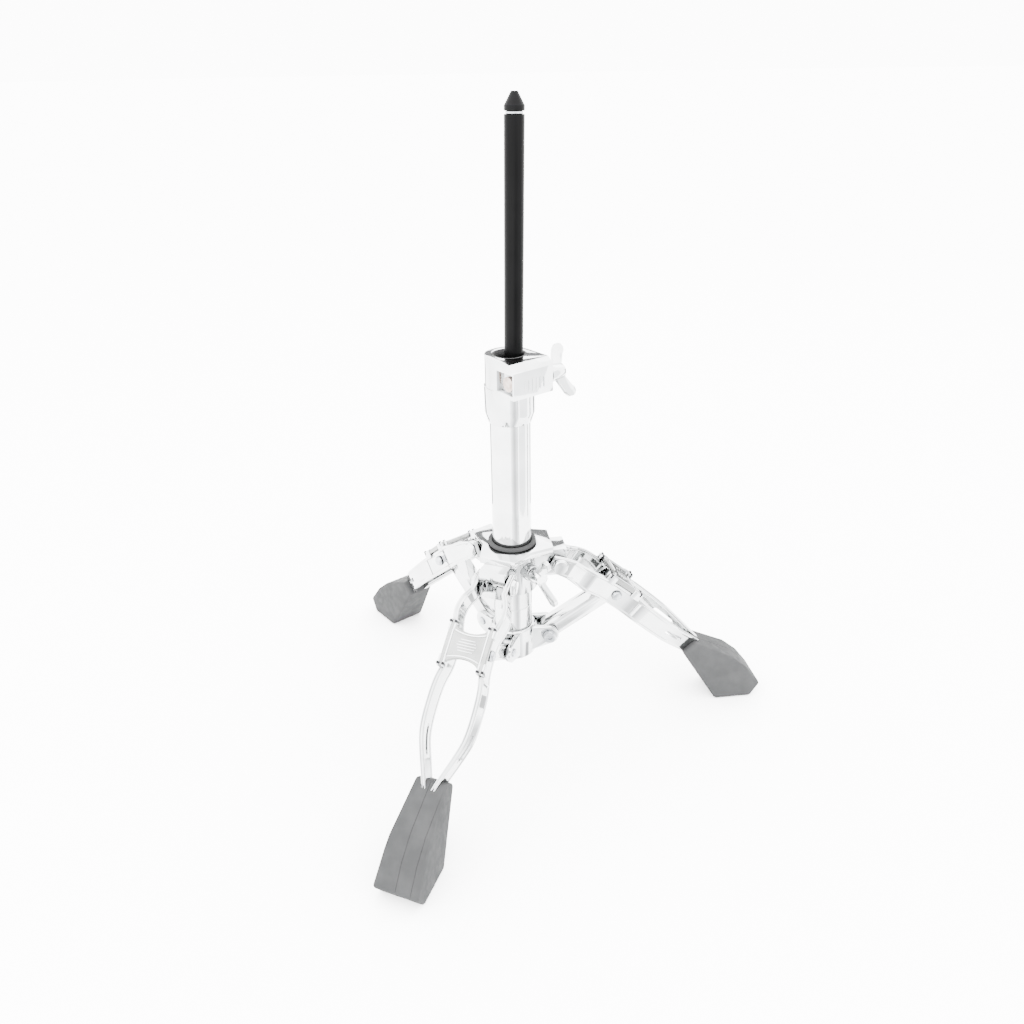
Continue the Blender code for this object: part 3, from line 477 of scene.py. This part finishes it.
def rounded(profile, radius, steps=3):
    """The profile with each corner off the axis rounded by a short arc."""
    count = len(profile)
    out = []
    for i, point in enumerate(profile):
        here = Vector(point)
        before, after = Vector(profile[i - 1]), Vector(profile[(i + 1) % count])
        on_axis = here.x < 1e-7 or (i in (0, count - 1) and profile[0][0] < 1e-7)
        if on_axis:
            out.append(point)
            continue
        reach = min(radius, (before - here).length * 0.45, (after - here).length * 0.45)
        start = here + (before - here).normalized() * reach
        end = here + (after - here).normalized() * reach
        for k in range(steps + 1):
            t = k / steps
            spot = start * (1 - t) ** 2 + here * 2 * t * (1 - t) + end * t ** 2
            out.append((spot.x, spot.y))
    return out


def prism(outline, low, high):
    """An outline in XY thickened along Z."""
    shape = bmesh.new()
    bottom = [shape.verts.new((x, y, low)) for x, y in outline]
    top = [shape.verts.new((x, y, high)) for x, y in outline]
    shape.faces.new(bottom)
    shape.faces.new(top)
    for i in range(len(outline)):
        j = (i + 1) % len(outline)
        shape.faces.new((bottom[i], bottom[j], top[j], top[i]))
    bmesh.ops.recalc_face_normals(shape, faces=shape.faces)
    return shape


def block(low, high):
    """A box between two opposite corners."""
    shape = bmesh.new()
    low, high = Vector(low), Vector(high)
    place = Matrix.Translation((low + high) / 2) @ Matrix.Diagonal((*(high - low), 1.0))
    bmesh.ops.create_cube(shape, size=1.0, matrix=place)
    return shape


def rod(start, end, radius, segments=20):
    """A round bar between two points."""
    shape = bmesh.new()
    start, end = Vector(start), Vector(end)
    turn = UP.rotation_difference(end - start).to_matrix().to_4x4()
    bmesh.ops.create_cone(
        shape,
        cap_ends=True,
        segments=segments,
        radius1=radius,
        radius2=radius,
        depth=(end - start).length,
        matrix=Matrix.Translation((start + end) / 2) @ turn,
    )
    return shape


def as_object(shape):
    """A bmesh as a working object, for a modifier to act on."""
    mesh = bpy.data.meshes.new("work")
    bmesh.ops.recalc_face_normals(shape, faces=shape.faces)
    shape.to_mesh(mesh)
    shape.free()
    made = bpy.data.objects.new("work", mesh)
    bpy.context.scene.collection.objects.link(made)
    return made


def applied(obj):
    """The object's mesh with its modifiers applied, as a bmesh; the object is removed."""
    graph = bpy.context.evaluated_depsgraph_get()
    shape = bmesh.new()
    shape.from_mesh(bpy.data.meshes.new_from_object(obj.evaluated_get(graph)))
    bpy.data.objects.remove(obj)
    return shape


def combine(base, others, operation):
    """base with each other shape united to it or cut from it."""
    obj = as_object(base)
    tools = [as_object(other) for other in others]
    for tool in tools:
        modifier = obj.modifiers.new("cut", "BOOLEAN")
        modifier.operation = operation
        modifier.solver = "EXACT"
        modifier.object = tool
    bpy.context.view_layer.update()
    shape = applied(obj)
    for tool in tools:
        bpy.data.objects.remove(tool)
    return shape


def softened(shape, width, segments=2, angle=35.0):
    """The shape with its sharp edges rounded."""
    obj = as_object(shape)
    modifier = obj.modifiers.new("rounding", "BEVEL")
    modifier.width = width
    modifier.segments = segments
    modifier.limit_method = "ANGLE"
    modifier.angle_limit = math.radians(angle)
    bpy.context.view_layer.update()
    return applied(obj)


def arc(centre, radius, start, end, count):
    """Points round a centre between two angles in degrees."""
    angles = [math.radians(start + (end - start) * i / count) for i in range(count + 1)]
    return [(centre[0] + radius * math.cos(a), centre[1] + radius * math.sin(a)) for a in angles]


def moved(shape, matrix):
    """The shape, moved in place."""
    bmesh.ops.transform(shape, matrix=matrix, verts=shape.verts)
    return shape


# Stands a prism made in XY upright, so that it runs across the leg
SIDE_ON = Matrix.Rotation(math.radians(90.0), 4, "X")

# ---------------------------------------------------------------- tube, ring and gas spring


def build_tube():
    """The plated tube, open at both ends, with a fine groove round it."""
    groove = TUBE_RADIUS - TUBE_GROOVE_DEPTH
    inner = TUBE_RADIUS - TUBE_WALL
    profile = [
        (TUBE_RADIUS, TUBE_HIGH.z),
        (TUBE_RADIUS, TUBE_GROOVE_MIDDLE + 0.0005),
        (groove, TUBE_GROOVE_MIDDLE + 0.0003),
        (groove, TUBE_GROOVE_MIDDLE - 0.0003),
        (TUBE_RADIUS, TUBE_GROOVE_MIDDLE - 0.0005),
        (TUBE_RADIUS, TUBE_LOW.z),
        (inner, TUBE_LOW.z),
        (inner, TUBE_HIGH.z),
    ]
    tube = lathe(rounded(profile, 0.0003), 128)
    finish_piece(tube, "tube_skin", TO_AXIS, "column", "chrome", ["base_tube"])


def build_ring():
    """The soft ring between the hub and the tube."""
    inner = TUBE_RADIUS + 0.0003
    low = RING_LOW.z
    profile = [
        (RING_RADIUS - 0.0004, HUB_TOP),
        (RING_RADIUS, HUB_TOP - 0.0016),
        (RING_RADIUS, low),
        (inner, low),
        (inner, HUB_TOP - 0.0005),
    ]
    ring = lathe(rounded(profile, 0.0009))
    finish_piece(ring, "ring_seal", TO_AXIS, "upper_hub", "ring_rubber", ["hub_bushing"])


def build_gas_spring():
    """The lacquered cylinder, the bright ring in its groove and the conical tip."""
    pivot = SPRING_PIVOT.z
    radius = SPRING_RADIUS
    low, shoulder = SPRING_LOW - pivot, SPRING_SHOULDER - pivot
    neck, lip = 0.0052, shoulder + 0.0060
    body = [
        (0.0, lip),
        (neck, lip),
        (neck, shoulder),
        (radius, shoulder),
        (radius, low),
        (radius - 0.0015, low),
        (radius - 0.0015, low + 0.010),
        (0.0, low + 0.010),
    ]
    cylinder = lathe(rounded(body, 0.0009))
    finish_piece(cylinder, "cylinder_skin", TO_SPRING, "gas_cylinder", "black_enamel", ["gas_cylinder"])
    ring_top = shoulder + 0.0022
    ring_low = shoulder + 0.0003
    section = [(0.0072, ring_top), (0.0072, ring_low), (0.0055, ring_low), (0.0055, ring_top)]
    ring = lathe(rounded(section, 0.0005))
    finish_piece(ring, "groove_ring", TO_SPRING, "gas_cylinder", "steel", ["neck_ring"])
    skirt = ring_top + 0.0003
    edge = skirt + 0.0046
    cap = [
        (0.0, edge + 0.0100),
        (0.0028, edge + 0.0100),
        (radius - 0.0006, edge + 0.0004),
        (radius, edge - 0.0004),
        (radius, skirt),
        (0.0056, skirt),
        (0.0056, lip + 0.0003),
        (0.0, lip + 0.0003),
    ]
    tip = lathe(rounded(cap, 0.0006))
    finish_piece(tip, "cone_tip", TO_SPRING, "gas_cylinder", "black_plastic", ["tip_cone"])


# ---------------------------------------------------------------- legs


def smooth_route(points, steps):
    """Points on a Catmull-Rom curve through rows of numbers."""
    rows = [tuple(points[0])] + [tuple(p) for p in points] + [tuple(points[-1])]
    out = []
    for a, b, c, d in zip(rows, rows[1:], rows[2:], rows[3:]):
        for k in range(steps):
            t = k / steps
            weights = (
                -0.5 * t + t * t - 0.5 * t ** 3,
                1 - 2.5 * t * t + 1.5 * t ** 3,
                0.5 * t + 2 * t * t - 1.5 * t ** 3,
                -0.5 * t * t + 0.5 * t ** 3,
            )
            corners = (a, b, c, d)
            out.append(tuple(sum(w * p[i] for w, p in zip(weights, corners)) for i in range(len(b))))
    out.append(rows[-1])
    return out


def strap_section(thick, half):
    """A strap's section: a web with a rolled bead along each edge, grooved in its middle."""
    web, bead = thick * WEB_SHARE, thick * 0.5
    side = [
        (web, half - 0.0034),
        (web + (bead - web) * 0.7, half - 0.0028),
        (bead, half - 0.0021),
        (bead, half - 0.0012),
        (bead * 0.88, half - 0.0004),
        (bead * 0.62, half),
        (bead * 0.34, half - 0.0003),
        (bead * 0.12, half - 0.0009),
    ]
    up = side + [(-x, y) for x, y in reversed(side)]
    return up + [(-x, -y) for x, y in up]


def strap_shape(side):
    """One strap, its section carried along the route and turned with it."""
    route = smooth_route(STRAP_ROUTE, 6)
    shape = bmesh.new()
    rings = []
    for i, (x, z, offset, half, thick) in enumerate(route):
        before, after = route[max(i - 1, 0)], route[min(i + 1, len(route) - 1)]
        run = Vector((after[0] - before[0], after[2] - before[2], after[1] - before[1]))
        flat = Vector((run.x, 0.0, run.z))
        slope = flat.normalized()
        rise = Vector((-slope.z, 0.0, slope.x))
        across = (slope * -run.y + Vector((0.0, flat.length, 0.0))).normalized()
        centre = Vector((x, offset, z))
        ring = [centre + across * w + rise * h for w, h in strap_section(thick, half)]
        rings.append([shape.verts.new((p.x, p.y * side, p.z)) for p in ring])
    count = len(rings[0])
    for first, second in zip(rings, rings[1:]):
        for j in range(count):
            shape.faces.new((first[j], first[(j + 1) % count], second[(j + 1) % count], second[j]))
    shape.faces.new(rings[0])
    shape.faces.new(rings[-1])
    return shape


def slope_matrix(outward):
    """From a frame on the straps' middle line, X down the leg and Z off its top, to the leg's frame."""
    for (x0, z0, *_), (x1, z1, *_) in zip(STRAP_ROUTE, STRAP_ROUTE[1:]):
        if x0 <= outward <= x1:
            height = z0 + (z1 - z0) * (outward - x0) / (x1 - x0)
            break
    # The straps run straight under the cross plate, between these two rows
    head, tail = STRAP_ROUTE[7], STRAP_ROUTE[9]
    tilt = math.atan2(head[1] - tail[1], tail[0] - head[0])
    return Matrix.Translation((outward, 0.0, height)) @ Matrix.Rotation(tilt, 4, "Y")


def build_straps(name):
    """A leg's two straps, each with a long slot below its cross plate."""
    place = TO_LEG[name]
    for label, side in (("left", -1), ("right", 1)):
        head = arc((0.0, 0.0), SLOT_RADIUS, 90, 270, 8)
        tail = arc((SLOT_LENGTH, 0.0), SLOT_RADIUS, -90, 90, 8)
        slot = moved(prism(head + tail, -0.03, 0.03), slope_matrix(SLOT_START) @ SIDE_ON)
        shape = combine(strap_shape(side), [slot], "DIFFERENCE")
        piece = f"strap_bar_{label}_{name}"
        node = f"strap_{label}_{name}"
        finish_piece(shape, piece, place, "leg_" + name, "chrome", [node], sharp=32.0)
        build_band(name, label, side)


def build_band(name, label, side):
    """A shallow pressed band across the strap's outer face, below the cross plate."""
    place = slope_matrix(BAND_MIDDLE)
    half = STRAP_HALF_HEIGHT - 0.0034
    face = BAND_OFFSET + STRAP_THICKNESS * WEB_SHARE
    ridge = block((-0.0022, face - 0.0006, -half), (0.0022, face + 0.0007, half))
    ridge = softened(ridge, 0.0006, 3)
    mirror = Matrix.Diagonal((1.0, side, 1.0, 1.0))
    finish_piece(ridge, f"strap_band_{label}_{name}", TO_LEG[name] @ mirror @ place, "leg_" + name, "chrome")


def plate_hollow(end):
    """The half-round hollow between two prongs, from the +Y prong to the -Y prong."""
    wide = PRONG_OFFSETS[end] - STRAP_THICKNESS * WEB_SHARE
    angles = [math.radians(90 - 180 * i / 24) for i in range(25)]
    middle = end * PLATE_HALF_LENGTH
    return [(middle - end * PLATE_HOLLOW * math.cos(a), wide * math.sin(a)) for a in angles]


def cross_plate_outline():
    """An X-shaped plate: four prongs round a waisted middle."""
    half, prong = PLATE_HALF_LENGTH, STRAP_THICKNESS * 0.62
    upper, lower = PRONG_OFFSETS[-1], PRONG_OFFSETS[1]
    tip = 0.0022
    side = [
        (-half, upper + prong - tip),
        (-half + tip, upper + prong),
        (-half * 0.50, upper + prong - 0.0002),
        (half * 0.50, lower + prong - 0.0006),
        (half - tip, lower + prong),
        (half, lower + prong - tip),
    ]
    other = [(x, -y) for x, y in reversed(side)]
    return side + plate_hollow(1) + other + plate_hollow(-1)[::-1]


def plate_rim_path():
    """The middle line of the raised rim, just inside the plate's edge."""
    inset = 0.0022
    wide = PRONG_OFFSETS[-1] - inset
    deep = PLATE_HALF_LENGTH - PLATE_HOLLOW - inset
    curve = 0.0034
    end = [(-deep - curve * (y / wide) ** 2, y) for y in (wide * (1 - i / 6) for i in range(13))]
    return end + [(-x, y) for x, y in reversed(end)]


def rim_shape(path, low, high, half):
    """A closed ridge with a flat crown along a path."""
    shape = bmesh.new()
    rings = []
    count = len(path)
    for i in range(count):
        here = Vector(path[i])
        run = Vector(path[(i + 1) % count]) - Vector(path[i - 1])
        side = Vector((-run.y, run.x)).normalized()
        spots = [(here + side * half * w, z) for w, z in ((-1.6, low), (-0.6, high), (0.6, high), (1.6, low))]
        rings.append([shape.verts.new((p.x, p.y, z)) for p, z in spots])
    for i in range(count):
        first, second = rings[i], rings[(i + 1) % count]
        for j in range(4):
            shape.faces.new((first[j], first[(j + 1) % 4], second[(j + 1) % 4], second[j]))
    return shape


def build_cross_plate(name):
    """The cast plate with its raised rim and generic ribs, and its four prongs."""
    place = TO_LEG[name] @ slope_matrix(PLATE_MIDDLE)
    body = "leg_" + name
    node = "cross_plate_" + name
    high = PLATE_LOW + PLATE_THICKNESS
    plate = softened(prism(cross_plate_outline(), PLATE_LOW, high), 0.0009, 3, 30.0)
    finish_piece(plate, "plate_body_" + name, place, body, "satin_face", [node])
    rim = rim_shape(plate_rim_path(), high - 0.0006, high + 0.0007, 0.0007)
    finish_piece(rim, "plate_rim_" + name, place, body, "cast_chrome", sharp=25.0)
    for i in range(5):
        x = (i - 2) * RIB_PITCH
        reach = 0.0098 - abs(i - 2) * 0.0012
        rib = block((x - 0.0005, -reach, high - 0.0008), (x + 0.0005, reach, high + 0.0005))
        rib = softened(rib, 0.0004, 2)
        finish_piece(rib, f"plate_rib_{i}_{name}", place, body, "cast_chrome")
    for end, offset in PRONG_OFFSETS.items():
        for label, side in (("left", -1), ("right", 1)):
            where = f"{'upper' if end < 0 else 'lower'}_{label}_{name}"
            build_prong(where, place, body, end, side * offset, high)


def build_prong(where, place, body, end, y, high):
    """Two tines that clasp the strap's edge, and a dark pin end on each of them."""
    low, top = sorted((end * (PLATE_HALF_LENGTH - PRONG_LENGTH), end * (PLATE_HALF_LENGTH + 0.0004)))
    for label, side in (("a", -1), ("b", 1)):
        y0, y1 = sorted((y + side * 0.0012, y + side * 0.0036))
        tine = softened(block((low, y0, PLATE_LOW - 0.0042), (top, y1, high + 0.0006)), 0.0010, 4)
        finish_piece(tine, f"prong_{label}_{where}", place, body, "cast_chrome")
    x = end * (PLATE_HALF_LENGTH - 0.0022)
    foot, head = high - PIN_DEPTH, high + PIN_RISE
    spots = [y + side * PIN_SPREAD for side in (-1, 1)]
    first, second = [rod((x, spot, foot), (x, spot, head), PIN_RADIUS) for spot in spots]
    bridge = block((x - 0.0006, spots[0], high - 0.0026), (x + 0.0006, spots[1], high - 0.0014))
    pins = combine(first, [second, bridge], "UNION")
    finish_piece(pins, "prong_pin_" + where, place, body, "dark_steel", ["plate_screw_" + where])


def boot_lines():
    """Cutters for the faint seam down the boot's middle and the line along one edge of its top."""
    ridge = [Vector((x, 0.0, z)) for x, z, _ in FOOT_OUTLINE[:4]]
    cutters = []
    for start, end in zip(ridge, ridge[1:]):
        run = end - start
        place = Matrix.Translation(start) @ Matrix.Rotation(math.atan2(-run.z, run.x), 4, "Y")
        for y, width in ((0.0, 0.0008), (0.0140, 0.0010)):
            section = [(-width, 0.0020), (width, 0.0020), (0.0002, -0.0004), (-0.0002, -0.0004)]
            groove = prism(section, -0.004, run.length + 0.004)
            stand = Matrix(((0, 0, 1, 0), (1, 0, 0, y), (0, 1, 0, 0), (0, 0, 0, 1)))
            cutters.append(moved(groove, place @ stand))
    return cutters


def boot_tread():
    """Cutters for the sole's notches, nine along the leg and six across it."""
    half = TREAD_HALF_WIDTH
    along = Matrix(((0, 0, 1, 0), (1, 0, 0, 0), (0, 1, 0, 0), (0, 0, 0, 1)))
    cutters = []
    for i in range(9):
        y = (i - 4) * 0.0046
        notch = prism([(y - half, -0.001), (y + half, -0.001), (y, TREAD_DEPTH)], 0.215, 0.275)
        cutters.append(moved(notch, along))
    for i in range(6):
        x = 0.224 + i * 0.0066
        notch = prism([(x - half, -0.001), (x + half, -0.001), (x, CROSS_TREAD_DEPTH)], -0.030, 0.030)
        cutters.append(moved(notch, SIDE_ON))
    return cutters


def build_foot(name):
    """A moulded boot: a rounded wedge with fine lines on top and a notched sole."""
    shape = bmesh.new()
    for x, z, half in FOOT_OUTLINE:
        for side in (-1, 1):
            shape.verts.new((x, side * half, z))
    bmesh.ops.convex_hull(shape, input=shape.verts)
    bmesh.ops.dissolve_limit(shape, angle_limit=0.02, verts=shape.verts, edges=shape.edges)
    shape = softened(shape, 0.0036, 5, 25.0)
    shape = combine(shape, boot_lines() + boot_tread(), "DIFFERENCE")
    node = "foot_" + name
    finish_piece(shape, "boot_" + name, TO_LEG[name], "leg_" + name, "foot_rubber", [node], sharp=30.0)


# ---------------------------------------------------------------- clamp face


def build_clamp_ribs():
    """Generic upright ribs on the clamp's front face."""
    back, front = CLAMP_FRONT - 0.0006, CLAMP_FRONT + 0.0006
    middle = CLAMP_TOP - 0.0200
    for i in range(6):
        y = -0.0090 + i * CLAMP_RIB_PITCH
        half = 0.0062 - abs(i - 2.5) * 0.0006
        rib = block((back, y - 0.0007, middle - half), (front, y + 0.0007, middle + half))
        rib = softened(rib, 0.0005, 3)
        finish_piece(rib, f"clamp_rib_{i}", TO_CLAMP, "column", "cast_chrome")


# ---------------------------------------------------------------- CAD pieces that stay


def dress(node, material, width=0.0):
    """A CAD node with welded edges, rounded where a width is given, and a detailed material."""
    obj = NODES[node]
    obj.data.materials.clear()
    obj.data.materials.append(MATERIALS[material])
    weld = obj.modifiers.new("weld", "WELD")
    weld.merge_threshold = 0.00002
    if width:
        rounding = obj.modifiers.new("rounding", "BEVEL")
        rounding.width = width
        rounding.segments = 2
        rounding.limit_method = "ANGLE"
        rounding.angle_limit = math.radians(35)
    obj.data.shade_smooth()
    obj.data.set_sharp_from_angle(angle=math.radians(35))


def dress_cad():
    """Every CAD piece that isn't modelled again."""
    dress("clamp_housing", "cast_chrome", 0.0006)
    dress("upper_hub", "cast_chrome", 0.0006)
    dress("lower_hub", "cast_chrome", 0.0006)
    dress("clamp_wing_nut", "chrome", 0.0006)
    dress("hub_wing_screw", "chrome", 0.0006)
    dress("draw_bolt", "copper_bolt", 0.0003)
    for node in ("clamp_shoe_inner", "clamp_shoe_outer", "piston_rod", "rod_guide"):
        dress(node, "steel")
    for node in ("bore_sleeve", "tube_plug", "piston"):
        dress(node, "nylon")
    for name in LEG_ANGLES:
        dress("brace_" + name, "chrome", 0.0005)
        dress("leg_pin_" + name, "chrome", 0.0006)
        dress("brace_screw_" + name, "steel", 0.0003)
        for label in ("left", "right"):
            dress(f"brace_rivet_{label}_{name}", "steel", 0.0005)


build_camera()
build_world()
build_floor()
build_lights()
build_cards()
build_tube()
build_ring()
build_gas_spring()
build_clamp_ribs()
for leg in LEG_ANGLES:
    build_straps(leg)
    build_cross_plate(leg)
    build_foot(leg)
dress_cad()
